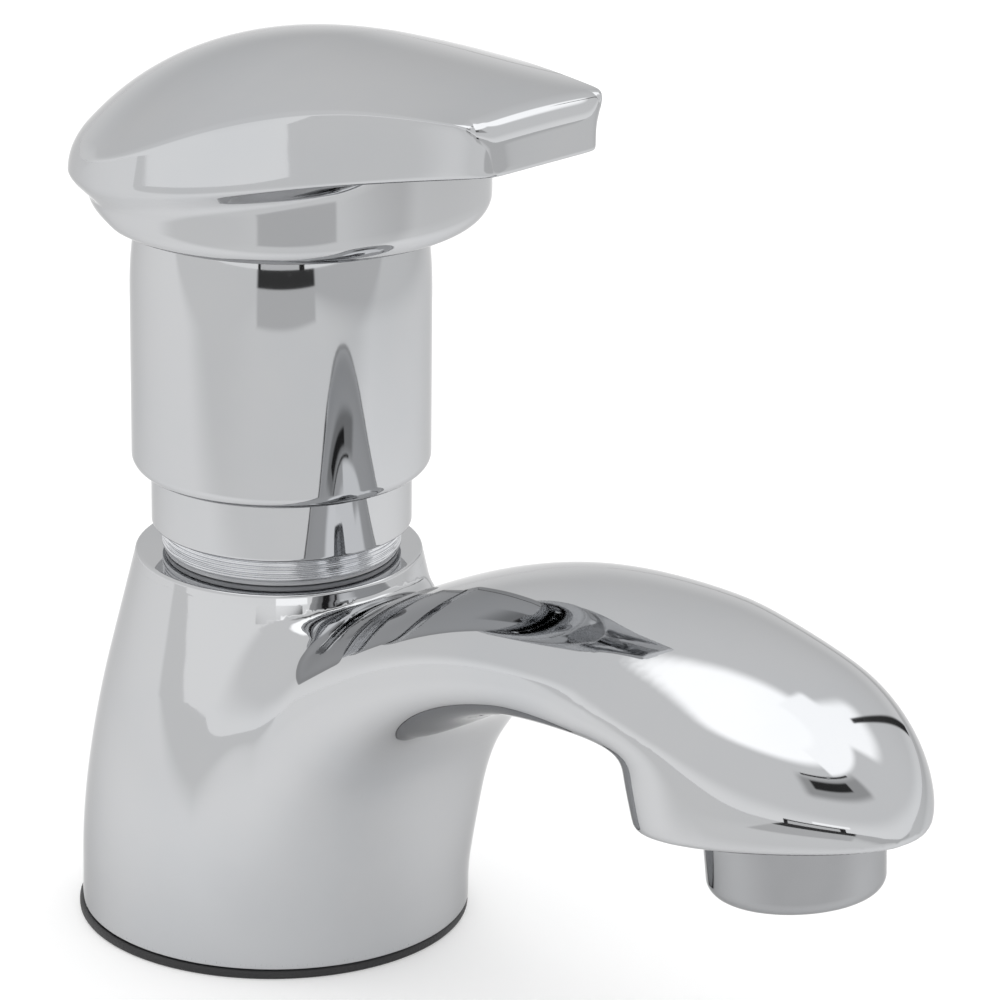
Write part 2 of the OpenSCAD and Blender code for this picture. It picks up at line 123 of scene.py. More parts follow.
# a uniform cubic B-spline whose ends are led out by a straight step, with its slope; t from 0 to 1
def splineAt(control, t):
    control = np.asarray(control, float)
    flat = control.ndim == 1
    control = control[:, None] if flat else control
    led = np.concatenate([2 * control[:1] - control[1:2], control, 2 * control[-1:] - control[-2:-1]])
    n = len(control) - 1
    t = np.asarray(t, float)
    k = np.clip(np.floor(t * n), 0, n - 1).astype(int)
    f = (t * n - k)[..., None]
    a, b, c, d = led[k], led[k + 1], led[k + 2], led[k + 3]
    at = ((1 - f) ** 3 * a + (3 * f ** 3 - 6 * f ** 2 + 4) * b
          + (-3 * f ** 3 + 3 * f ** 2 + 3 * f + 1) * c + f ** 3 * d) / 6
    slope = n * (-(1 - f) ** 2 * a + (3 * f ** 2 - 4 * f) * b + (-3 * f ** 2 + 2 * f + 1) * c + f ** 2 * d) / 2
    return (at[..., 0], slope[..., 0]) if flat else (at, slope)


def smoothStep(v, low, high):
    f = np.clip((v - low) / (high - low), 0, 1)
    return f * f * (3 - 2 * f)


cameraSet = {"azimuth": 45.5, "elevation": 19.96, "distance": 800, "roll": 0.61,
             "aimRight": 30.272, "aimUp": 61.354, "lens": 207.65}


# the camera stands in front of the valve axis turned by azimuth, looks down by elevation and is rolled a little
def placeCamera(s):
    a, e, roll = (math.radians(s[k]) for k in ("azimuth", "elevation", "roll"))
    toWorld = np.array([[math.cos(a), -math.sin(a), 0], [math.sin(a), math.cos(a), 0], [0, 0, 1]])
    back = np.array([0, -math.cos(e), math.sin(e)])
    right = np.array([1, 0, 0])
    up = np.cross(right, -back)
    place = np.array([s["aimRight"], 0, s["aimUp"]]) + s["distance"] * back
    rolledRight = math.cos(roll) * right + math.sin(roll) * up
    rolledUp = -math.sin(roll) * right + math.cos(roll) * up
    matrix = np.eye(4)
    matrix[:3, :3] = toWorld @ np.stack([rolledRight, rolledUp, back], 1)
    matrix[:3, 3] = toWorld @ place * mm
    data = bpy.data.cameras.new("photoCamera")
    data.lens = s["lens"]
    data.sensor_width = 36
    data.clip_start, data.clip_end = 0.01, 50
    camera = bpy.data.objects.new("photoCamera", data)
    scene.collection.objects.link(camera)
    camera.matrix_world = Matrix(matrix.tolist())
    scene.camera = camera


placeCamera(cameraSet)
scene.view_settings.view_transform = "Standard"
print("camera placed")


def addNode(tree, kind, **values):
    node = tree.nodes.new(kind)
    for key, value in values.items():
        setattr(node, key, value)
    return node


# a feed is a socket to link or a plain number
def feedSocket(tree, socket, feed):
    if isinstance(feed, (int, float)):
        socket.default_value = feed
    else:
        tree.links.new(feed, socket)


def mathNode(tree, operation, *feeds):
    node = addNode(tree, "ShaderNodeMath", operation=operation)
    for socket, feed in zip(node.inputs, feeds):
        feedSocket(tree, socket, feed)
    return node.outputs[0]


# a step that rises smoothly from low to high as the feed goes from a to b
def rampNode(tree, feed, a, b, low=0, high=1):
    node = addNode(tree, "ShaderNodeMapRange", interpolation_type="SMOOTHSTEP")
    for key, value in (("Value", feed), ("From Min", a), ("From Max", b), ("To Min", low), ("To Max", high)):
        feedSocket(tree, node.inputs[key], value)
    return node.outputs["Result"]


def mixColour(tree, mask, first, second):
    node = addNode(tree, "ShaderNodeMix", data_type="RGBA")
    tree.links.new(mask, node.inputs["Factor"])
    node.inputs["A"].default_value, node.inputs["B"].default_value = (*first, 1), (*second, 1)
    return next(o for o in node.outputs if o.type == "RGBA")


def noiseNode(tree, place, scale, detail=2.0, rough=0.5):
    node = addNode(tree, "ShaderNodeTexNoise")
    tree.links.new(place, node.inputs["Vector"])
    for key, value in (("Scale", scale), ("Detail", detail), ("Roughness", rough)):
        feedSocket(tree, node.inputs[key], value)
    return node.outputs["Fac"]


def objectPlace(tree):
    return addNode(tree, "ShaderNodeTexCoord").outputs["Object"]


def startGroup(name, inputs, outputs):
    group = bpy.data.node_groups.new(name, "ShaderNodeTree")
    for label, value in inputs.items():
        group.interface.new_socket(label, in_out="INPUT", socket_type="NodeSocketFloat").default_value = value
    for label in outputs:
        group.interface.new_socket(label, in_out="OUTPUT", socket_type="NodeSocketFloat")
    return group, group.nodes.new("NodeGroupInput").outputs, group.nodes.new("NodeGroupOutput").inputs


# broad cloudy marks of handling and wiping, and sparse fine specks of dust; scales count features per metre
def makeHandlingMarks():
    group, given, out = startGroup("handlingMarks", {"Cloud Scale": 30, "Speck Scale": 420}, ["Cloud", "Speck"])
    place = objectPlace(group)
    group.links.new(rampNode(group, noiseNode(group, place, given["Cloud Scale"], 4, 0.6), 0.38, 0.7), out["Cloud"])
    dots = addNode(group, "ShaderNodeTexVoronoi")
    group.links.new(place, dots.inputs["Vector"])
    group.links.new(given["Speck Scale"], dots.inputs["Scale"])
    sparse = rampNode(group, noiseNode(group, place, 75), 0.55, 0.75)
    speck = mathNode(group, "MULTIPLY", rampNode(group, dots.outputs["Distance"], 0.05, 0.16, 1, 0), sparse)
    group.links.new(speck, out["Speck"])
    return group


# rings left by a lathe tool: a sine of the height over the pitch, whose phase wavers a little round the piece
def makeToolRings():
    group, given, out = startGroup("toolRings", {"Pitch": 0.0004, "Waver": 1.0}, ["Rings"])
    place = objectPlace(group)
    parts = addNode(group, "ShaderNodeSeparateXYZ")
    group.links.new(place, parts.inputs[0])
    turns = mathNode(group, "DIVIDE", parts.outputs["Z"], given["Pitch"])
    waver = mathNode(group, "MULTIPLY", noiseNode(group, place, 160), given["Waver"])
    phase = mathNode(group, "ADD", mathNode(group, "MULTIPLY", turns, 2 * math.pi), waver)
    group.links.new(mathNode(group, "MULTIPLY_ADD", mathNode(group, "SINE", phase), 0.5, 0.5), out["Rings"])
    return group


# fine grain of a moulded or cast skin, and a slower tone that shades it
def makeSkinGrain():
    group, given, out = startGroup("skinGrain", {"Grain Scale": 2500, "Tone Scale": 90}, ["Grain", "Tone"])
    place = objectPlace(group)
    group.links.new(noiseNode(group, place, given["Grain Scale"], 2, 0.6), out["Grain"])
    group.links.new(rampNode(group, noiseNode(group, place, given["Tone Scale"], 3, 0.55), 0.32, 0.7), out["Tone"])
    return group


handlingMarks, toolRings, skinGrain = makeHandlingMarks(), makeToolRings(), makeSkinGrain()


def placeGroup(tree, group, **values):
    node = addNode(tree, "ShaderNodeGroup", node_tree=group)
    for key, value in values.items():
        node.inputs[key].default_value = value
    return node.outputs


def newMaterial(name):
    material = bpy.data.materials.new(name)
    material.use_nodes = True
    return material, material.node_tree, material.node_tree.nodes["Principled BSDF"]


def addBump(tree, shader, height, strength, distance):
    bump = addNode(tree, "ShaderNodeBump")
    bump.inputs["Strength"].default_value = strength
    bump.inputs["Distance"].default_value = distance
    tree.links.new(height, bump.inputs["Height"])
    tree.links.new(bump.outputs["Normal"], shader.inputs["Normal"])


# settings of each finish: two tones that the clouds mix, roughness clean and marked, relief and its depth in metres
finishSet = {
    "polishedChrome": {"tones": ((0.525, 0.53, 0.54), (0.505, 0.515, 0.53)), "metal": 1, "rough": (0.03, 0.05),
                       "cloud": 28, "grain": 60, "relief": 0.02, "depth": 0.001, "rim": 0.66},
    "dullChrome": {"tones": ((0.36, 0.365, 0.375), (0.32, 0.325, 0.335)), "metal": 1, "rough": (0.07, 0.12),
                   "cloud": 28, "grain": 60, "relief": 0.02, "depth": 0.001, "rim": 0.66},
    "turnedChrome": {"tones": ((0.66, 0.67, 0.69), (0.58, 0.59, 0.61)), "metal": 1, "rough": (0.1, 0.16),
                     "cloud": 60, "rings": 0.00035, "relief": 0.3, "depth": 0.00004},
    "turnedBrass": {"tones": ((0.82, 0.62, 0.31), (0.63, 0.43, 0.2)), "metal": 1, "rough": (0.24, 0.42),
                    "cloud": 70, "rings": 0.0005, "relief": 0.4, "depth": 0.00005},
    "brightSteel": {"tones": ((0.6, 0.6, 0.59), (0.5, 0.5, 0.5)), "metal": 1, "rough": (0.2, 0.34),
                    "cloud": 90, "rings": 0.0003, "relief": 0.3, "depth": 0.00004},
    "blackRubber": {"tones": ((0.016, 0.016, 0.018), (0.034, 0.034, 0.035)), "metal": 0, "rough": (0.5, 0.72),
                    "cloud": 80, "grain": 2600, "relief": 0.5, "depth": 0.0002},
    "paleAcetal": {"tones": ((0.78, 0.765, 0.71), (0.7, 0.68, 0.62)), "metal": 0, "rough": (0.32, 0.46),
                   "cloud": 110, "grain": 1800, "relief": 0.25, "depth": 0.0001},
    "greyFibre": {"tones": ((0.62, 0.63, 0.65), (0.52, 0.53, 0.55)), "metal": 0, "rough": (0.4, 0.55),
                  "cloud": 110, "grain": 1800, "relief": 0.3, "depth": 0.0001}}


def makeFinish(name, s):
    material, tree, shader = newMaterial(name)
    shader.inputs["Metallic"].default_value = s["metal"]
    shader.inputs["Specular Tint"].default_value = (*[s.get("rim", 1)] * 3, 1)  # how bright the metal is at its rims
    marks = placeGroup(tree, handlingMarks, **{"Cloud Scale": s["cloud"]})
    tree.links.new(mixColour(tree, marks["Cloud"], *s["tones"]), shader.inputs["Base Color"])
    clean, marked = s["rough"]
    rough = mathNode(tree, "MULTIPLY_ADD", marks["Cloud"], marked - clean, clean)
    tree.links.new(mathNode(tree, "MULTIPLY_ADD", marks["Speck"], 0.08, rough), shader.inputs["Roughness"])
    if "rings" in s:
        height = placeGroup(tree, toolRings, Pitch=s["rings"])["Rings"]
    else:
        height = placeGroup(tree, skinGrain, **{"Grain Scale": s["grain"]})["Grain"]
    addBump(tree, shader, height, s["relief"], s["depth"])
    return material


finishes = {name: makeFinish(name, s) for name, s in finishSet.items()}
chrome, turned, brass = finishes["polishedChrome"], finishes["turnedChrome"], finishes["turnedBrass"]
steel, rubber, acetal = finishes["brightSteel"], finishes["blackRubber"], finishes["paleAcetal"]
print("finishes made:", len(finishes))

bodySet = {"baseR": 27.38, "wallZ": 9.5, "coneZ": 38.5, "lipZ": 54.3, "lipR": 19.9, "coneAngle": 13.2,
           "gasketZ": 1.4, "baseX": -1.5, "lipX": -0.6, "lipRound": 0.5,
           "reach": 97.6, "rimX": 95, "rimZ": 44.1, "rimTilt": 5, "archZ": 66.6, "underZ": 50.4, "noseX": 117.6,
           "headW": 18.3, "archW": 18.6, "rootW": 20,
           "topOval": 2.0, "lowOval": 2.4, "sideOval": 2.2, "rootOval": 1.0, "rootFrom": 0.3, "rootTo": 0.62,
           "eggRoot": 0.06, "eggNose": 0.3, "rootX": 17, "rootFall": 0.05, "headFrom": 0.5, "headTo": 0.64,
           "topBlend": 7, "lowBlend": 8, "blendFrom": -0.2, "blendTo": 0.8, "lipFade": 5, "leastBlend": 0.05,
           "rimRound": 1.0, "rimFrom": 70, "wallSlope": 0.98, "lipCut": 1.1, "netZ": 1.7, "pitch": 0.62}
rimSlope = math.tan(math.radians(bodySet["rimTilt"]))


# height of the tilted plane of the outlet's rim
def rimAt(x):
    return bodySet["rimZ"] + (x - bodySet["rimX"]) * rimSlope


# upper and lower rail of the spout in the XZ plane, and its half width along them
def spoutRails(s):
    top, under, nose = s["archZ"], s["underZ"], s["noseX"]
    topRail = [[4, 45], [17, 49], [33, top - 8], [52, top - 0.6], [72, top + 1], [90, top], [105, top - 4.7],
               [nose - 2.6, rimAt(nose) + 8.2], [nose - 0.2, rimAt(nose) + 1.2], [nose, rimAt(nose - 1)]]
    lowRail = [[6, 6], [20, 9], [25.9, 20.3], [32.8, under - 16], [45.6, under - 5.6], [61, under - 1.2],
               [77.2, under + 1], [76.8, s["rimZ"] + 4.5], [79.7, rimAt(79) + 0.6], [79.8, rimAt(80.6)]]
    arch, head, root = s["archW"], s["headW"], s["rootW"]
    widths = [root, root, root - 0.5, arch + 0.4, arch, arch, arch, head + 0.4, head + 0.5, head - 0.9]
    return np.array(topRail, float), np.array(lowRail, float), np.array(widths, float)


topRail, lowRail, halfWidths = spoutRails(bodySet)


# for points of the XZ plane, the nearest place t on a rail and the distance to it, positive on the rail's left
def railNear(rail, x, z):
    row = np.linspace(0, 1, 241)
    at = splineAt(rail, row)[0]
    flatX, flatZ = x.ravel(), z.ravel()
    t = np.zeros(flatX.shape)
    for low in range(0, flatX.size, 20000):
        part = slice(low, low + 20000)
        t[part] = row[np.argmin((flatX[part, None] - at[:, 0]) ** 2 + (flatZ[part, None] - at[:, 1]) ** 2, 1)]
    return refineNear(rail, x, z, t.reshape(x.shape), 5)


def refineNear(rail, x, z, t, rounds=2):
    for _ in range(rounds):
        at, slope = splineAt(rail, t)
        along = (x - at[..., 0]) * slope[..., 0] + (z - at[..., 1]) * slope[..., 1]
        t = np.clip(t + np.clip(along / np.maximum((slope ** 2).sum(-1), 1e-6), -0.02, 0.02), 0, 1)
    at, slope = splineAt(rail, t)
    px, pz = x - at[..., 0], z - at[..., 1]
    return t, np.hypot(px, pz) * np.sign(slope[..., 0] * pz - slope[..., 1] * px)


# the chord from the lower to the upper rail that passes through a point, by its place t, and the point's place s on it
def chordPlace(x, z, t):
    low, high = splineAt(lowRail, t)[0], splineAt(topRail, t)[0]
    half = (high - low) / 2
    size = np.hypot(half[..., 0], half[..., 1])
    px, pz = x - (low + half)[..., 0], z - (low + half)[..., 1]
    off = (px * half[..., 1] - pz * half[..., 0]) / size
    return off, (px * half[..., 0] + pz * half[..., 1]) / size ** 2, 2 * size


def refineChord(x, z, t, rounds=2, step=0.004):
    for _ in range(rounds):
        up, down = np.minimum(t + step, 1), np.maximum(t - step, 0)
        rate = (chordPlace(x, z, up)[0] - chordPlace(x, z, down)[0]) / (up - down)
        rate = np.where(np.abs(rate) < 1, np.where(rate < 0, -1, 1), rate)
        t = np.clip(t - np.clip(chordPlace(x, z, t)[0] / rate, -0.02, 0.02), 0, 1)
    return (t, *chordPlace(x, z, t)[1:])


def chordNear(x, z):
    row = np.linspace(0.3, 1, 176)
    flatX, flatZ = x.ravel(), z.ravel()
    t = np.zeros(flatX.shape)
    for low in range(0, flatX.size, 20000):
        part = slice(low, low + 20000)
        off, s, _ = chordPlace(flatX[part, None], flatZ[part, None], row[None, :])
        t[part] = row[np.argmin(np.abs(off) + 20 * np.maximum(np.abs(s) - 1.3, 0), 1)]
    return refineChord(x, z, t.reshape(x.shape), 5)


# distance to a rounded oval section |s|^n + |u|^m = 1, with u the place across by the half width, wider below than
# above; n rises below the root, which draws the fold under the spout
def ovalField(y, s, t, thick):
    egg = bodySet["eggRoot"] + bodySet["eggNose"] * t ** 4
    wide = splineAt(halfWidths, t)[0] * (1 - egg * np.clip(s, -1.3, 1.3))
    u = np.maximum(np.abs(y) / wide, 1e-6)
    fold = bodySet["lowOval"] + bodySet["rootOval"] * (1 - smoothStep(t, bodySet["rootFrom"], bodySet["rootTo"]))
    n, m = np.where(s > 0, bodySet["topOval"], fold), bodySet["sideOval"]
    high = np.maximum(np.abs(s), 1e-6)
    q = np.sqrt(high ** n + u ** m)
    steep = np.hypot(n * high ** (n - 1) / (2 * q) / (thick / 2), m * u ** (m - 1) / (2 * q) / wide)
    return (q - 1) / np.maximum(steep, 1e-3)


# distance to the spout's skin: s goes from -1 on the lower rail to 1 on the upper one, by the distances to the rails in
# the arch and by the chords between the rails in the head
def spoutField(y, near, s=bodySet):
    (tTop, dTop), (tLow, dLow), (tHead, sHead, longHead) = near
    thick = np.maximum(dLow - dTop, 4)
    high = (dLow + dTop) / thick
    t = tLow + (tTop - tLow) * np.clip((high + 1) / 2, 0, 1)
    arch = ovalField(y, high, t, thick)
    head = ovalField(y, sHead, tHead, longHead)
    return arch + (head - arch) * smoothStep(t, s["headFrom"], s["headTo"]), high


def nearPlaces(x, z):
    return [railNear(topRail, x, z), railNear(lowRail, x, z), chordNear(x, z)]


# the wall of the body: upright at the base, one large arc, then a cone to the lip
def wallRadius(z, s):
    taper = math.tan(math.radians(s["coneAngle"]))
    foot = s["lipR"] + (s["lipZ"] - s["coneZ"]) * taper
    rise = np.clip((z - s["wallZ"]) / (s["coneZ"] - s["wallZ"]), 0, 1)
    curved = s["baseR"] - (s["baseR"] - foot) * rise ** 1.75
    return np.where(z < s["coneZ"], curved, s["lipR"] + (s["lipZ"] - z) * taper)


# the casting's axis leans a little from the base to the lip
def axisX(z, s):
    return s["baseX"] + (s["lipX"] - s["baseX"]) * np.clip(z / s["lipZ"], 0, 1)


# the greater of two distances, with a rounding of about k where they are alike: (k - |a - b|)^2 / 4k is added
def softMax(a, b, k):
    return np.maximum(a, b) + np.maximum(k - np.abs(a - b), 0) ** 2 / (4 * k)


# spout and wall joined with a soft valley, which tightens towards the lip; the head is cut by the rim's plane
def bodyField(x, y, z, near, s=bodySet):
    spout, up = spoutField(y, near)
    belowRim = (rimAt(x) - z) * math.cos(math.atan(rimSlope))
    spout = np.where(x > s["rimFrom"], softMax(spout, belowRim, s["rimRound"]), spout)
    spout = spout + s["rootFall"] * np.maximum(s["rootX"] - x, 0) ** 2
    wall = (np.hypot(x - axisX(z, s), y) - wallRadius(z, s)) * s["wallSlope"]
    k = s["lowBlend"] + (s["topBlend"] - s["lowBlend"]) * smoothStep(up, s["blendFrom"], s["blendTo"])
    k = np.maximum(k * smoothStep(s["lipZ"] - z, 0.4, s["lipFade"]), s["leastBlend"])
    return -softMax(-spout, -wall, k)


# net of quads over the zero level of a grid of values: one point in each cell that the level crosses, at the mean of
# the crossings of the cell's edges, and one quad for each crossed edge
def surfaceNet(values, low, pitch):
    inside = values < 0
    shape = np.array(values.shape) - 1
    corners = [(i, j, k) for i in (0, 1) for j in (0, 1) for k in (0, 1)]

    def part(a, o):
        return a[o[0]:o[0] + shape[0], o[1]:o[1] + shape[1], o[2]:o[2] + shape[2]]

    count = sum(part(inside, o).astype(np.int8) for o in corners)
    active = (count > 0) & (count < 8)
    cells = np.argwhere(active)
    index = np.full(active.shape, -1, np.int64)
    index[active] = np.arange(len(cells))
    total, hits = np.zeros((len(cells), 3)), np.zeros(len(cells))
    for o in corners:
        for axis in (a for a in range(3) if not o[a]):
            e = list(o)
            e[axis] = 1
            va, vb = part(values, o)[active], part(values, e)[active]
            cross = (va < 0) != (vb < 0)
            at = np.repeat(np.array([o], float), len(cells), 0)
            at[:, axis] = np.where(cross, va / np.where(cross, va - vb, 1), 0)
            total += at * cross[:, None]
            hits += cross
    points = low + (cells + total / hits[:, None]) * pitch
    faces = []
    for axis in range(3):
        p, q = (axis + 1) % 3, (axis + 2) % 3
        a = np.take(inside, np.arange(values.shape[axis] - 1), axis)
        b = np.take(inside, np.arange(1, values.shape[axis]), axis)
        edge = np.argwhere(a != b)
        edge = edge[(edge[:, p] > 0) & (edge[:, q] > 0) & (edge[:, p] < shape[p]) & (edge[:, q] < shape[q])]
        first = a[tuple(edge.T)]
        ring = []
        for dp, dq in ((0, 0), (1, 0), (1, 1), (0, 1)):
            cell = edge.copy()
            cell[:, p] -= dp
            cell[:, q] -= dq
            ring.append(index[tuple(cell.T)])
        ring = np.stack(ring, 1)
        ring[~first] = ring[~first][:, ::-1]
        faces.append(ring)
    return points, np.concatenate(faces)


# value and slope of the body's field at loose points, from places on the rails that are already near
def fieldAt(p, start, step=0.02):
    def value(q):
        x, y, z = q.T
        near = [refineNear(topRail, x, z, start[0]), refineNear(lowRail, x, z, start[1]),
                refineChord(x, z, start[2])]
        return bodyField(x, y, z, near)

    slope = np.stack([(value(p + h) - value(p - h)) / (2 * step) for h in np.eye(3) * step], 1)
    return value(p), slope


# the outer skin: a net over the field, drawn onto the zero level by Newton steps along the slope, open at lip and base
def castSkin(s):
    pitch = s["pitch"]
    x = np.arange(-31.0, s["noseX"] + 3, pitch)
    y = (np.arange(round(62 / pitch)) + 0.5 - round(31 / pitch)) * pitch
    z = np.arange(s["netZ"], s["archZ"] + 3, pitch)
    gx, gz = np.meshgrid(x, z, indexing="ij")
    near = nearPlaces(gx, gz)
    wide = np.zeros((len(x), len(y), len(z)))
    spread = [tuple(v[:, None, :] + wide for v in place) for place in near]
    values = bodyField(gx[:, None, :] + wide, y[None, :, None] + wide, gz[:, None, :] + wide, spread)
    points, faces = surfaceNet(values, np.array([x[0], y[0], z[0]]), pitch)
    start = [place[0] for place in nearPlaces(points[:, 0], points[:, 2])]
    for _ in range(4):
        v, slope = fieldAt(points, start)
        move = v[:, None] * slope / np.maximum((slope ** 2).sum(1), 0.2)[:, None]
        points = points - np.clip(move, -0.3, 0.3)
    slope = fieldAt(points, start)[1]
    cut = s["lipZ"] - s["lipCut"]
    inWall = np.hypot(points[:, 0] - axisX(points[:, 2], s), points[:, 1]) < wallRadius(points[:, 2], s) + 0.2
    faces = faces[~((points[:, 2] > cut) & inWall)[faces].any(1)]
    used, faces = np.unique(faces, return_inverse=True)
    normals = slope / np.linalg.norm(slope, axis=1)[:, None]
    return points[used], faces.reshape(-1, 4), normals[used]


# lip, bores and base in one turned skin, whose ends lie a hair inside the net; a normal is the mean of its profile's
# runs
def boredSkin(s, hair=0.04, turns=240):
    high, low = np.linspace(s["lipZ"] - 4, s["lipZ"] - 1.3, 6), np.linspace(2.3, 5, 6)
    rounded = roundedChain([(float(wallRadius(high[-1], s)), high[-1]), (s["lipR"], s["lipZ"], s["lipRound"]),
                            (15, s["lipZ"], 0.2), (15, 43), (13, 43), (13, 26), (9, 26), (9, 12), (10.53, 12),
                            (10.53, s["gasketZ"], 0.2), (s["baseR"], s["gasketZ"], 0.5), (s["baseR"], 2.2)])
    fade = hair * np.linspace(1, 0, 6)
    profile = np.concatenate([np.stack([wallRadius(high, s) - fade, high], 1)[:-1], rounded,
                              np.stack([wallRadius(low, s) - fade[::-1], low], 1)])
    run = np.diff(profile, axis=0)
    flat = np.stack([run[:, 1], -run[:, 0]], 1) / np.maximum(np.linalg.norm(run, axis=1), 1e-9)[:, None]
    mean = np.concatenate([flat[:1], flat[:-1] + flat[1:], flat[-1:]])
    outer = smoothStep(profile[:, 0], 15.2, 17.5)
    points, faces = revolve(profile, turns, axisX(profile[:, 1], s) * outer)
    g = np.linspace(0, 2 * np.pi, turns, endpoint=False)
    normals = np.stack([mean[:, :1] * np.cos(g), mean[:, :1] * np.sin(g), mean[:, 1:] + 0 * g], -1).reshape(-1, 3)
    return points, faces, normals / np.maximum(np.linalg.norm(normals, axis=1), 1e-9)[:, None]


castPoints, castFaces, castNormals = castSkin(bodySet)
borePoints, boreFaces, boreNormals = boredSkin(bodySet)
makePiece("tapBody", np.concatenate([castPoints, borePoints]), [castFaces, boreFaces + len(castPoints)], "tap", chrome,
          "chrome", ["body"], np.concatenate([castNormals, boreNormals]))

handleSet = {"frontX": 50.9, "crownZ": 129.99, "backR": 28.5, "midX": 12, "cornerRound": 1.2,
             "topLip": 68.8, "topFall": 12.9, "topAhead": -0.5, "bandLip": 47, "bandFall": 14, "bandAhead": 0.4,
             "bandDrop": 18.7, "bandBack": 21.7, "bandLean": 0.185, "underDrop": 2.5,
             "backDrop": 18.2, "backRoll": 0.72, "frontDrop": 1.9, "creaseDrop": 10.3, "creaseRise": 8.35,
             "cupZ": 103.6, "cupR": 27.5, "cupX": 1.9, "cupRound": 3,
             "boreR": 21.75, "boreZ": 112, "bossR": 9, "bossZ": 105.75, "stemR": 4.05, "stemZ": 117.2,
             "creaseRound": 0.5, "frontRound": 4.6, "bandRound": 0.8, "slitRound": 1.2, "rollDome": 2,
             "panelFrom": 101, "panelTo": 116, "backRelax": 30, "turns": 560}


# the lesser of two lengths, rounded over k where they are alike
def softMin(a, b, k):
    low = np.minimum(a, b)
    return low - k * np.log(np.exp(-(a - low) / k) + np.exp(-(b - low) / k))


# plan of the handle by angle: a round back of radius r, a lip that falls off on both sides, cut by the flat front
def handlePlan(g, r, lip, fall, s, ahead=0):
    flat = (s["frontX"] + ahead) / np.maximum(np.cos(g), 0.05)
    reach = softMin(flat, r + lip * np.exp(-np.degrees(np.abs(g)) / fall), s["cornerRound"])
    return np.stack([reach * np.cos(g), reach * np.sin(g)], -1)


def unit(v):
    size = np.linalg.norm(v, axis=-1, keepdims=True)
    return v / np.maximum(size, 1e-9), size[..., 0]


# points on a straight run, and on the curve (1-f)^2 a + 2f(1-f) b + f^2 c that rounds the corner b
def straight(a, b, rows):
    f = np.linspace(0, 1, rows + 1)[1:, None, None]
    return a + (b - a) * f


def cornerCurve(a, b, c, rows):
    f = np.linspace(0, 1, rows + 1)[1:, None, None]
    return (1 - f) ** 2 * a + 2 * f * (1 - f) * b + f ** 2 * c


# plan of the top's edge, which bulges a little more at the back
def topPlan(g, s):
    r = s["backR"] - 0.2 + 0.25 * (1 - np.cos(g))
    return handlePlan(g, r, s["topLip"], s["topFall"], s, s["topAhead"])


# height of the side's crease by place along the handle, a tanh; and of the ridge over its middle: a flat fall of
# d * f^2.3 to the front, and (1 - f^1.92)^roll to the back
def creaseHeight(x, s):
    return s["crownZ"] - s["creaseDrop"] + s["creaseRise"] * np.tanh(0.055 * (x - 7.3))


def ridgeHeight(x, s):
    back = np.clip((s["midX"] - x) / (s["midX"] + s["backR"] + 0.3), 0, 1)
    front = np.maximum(x - s["midX"], 0) / (s["frontX"] - s["midX"])
    return s["crownZ"] - s["backDrop"] * (1 - (1 - back ** 1.92) ** s["backRoll"]) - s["frontDrop"] * front ** 2.3


# height of the dome: across, it falls as the square of the place over the half width, from the ridge to the crease
def domeHeight(x, y, s):
    g = np.radians(np.linspace(12.5, 180, 1500))
    edge = topPlan(g, s)
    half = np.interp(x, edge[::-1, 0], np.maximum(edge[::-1, 1], 0.5))
    return ridgeHeight(x, s) - (ridgeHeight(x, s) - creaseHeight(x, s)) * np.minimum((y / half) ** 2, 1)


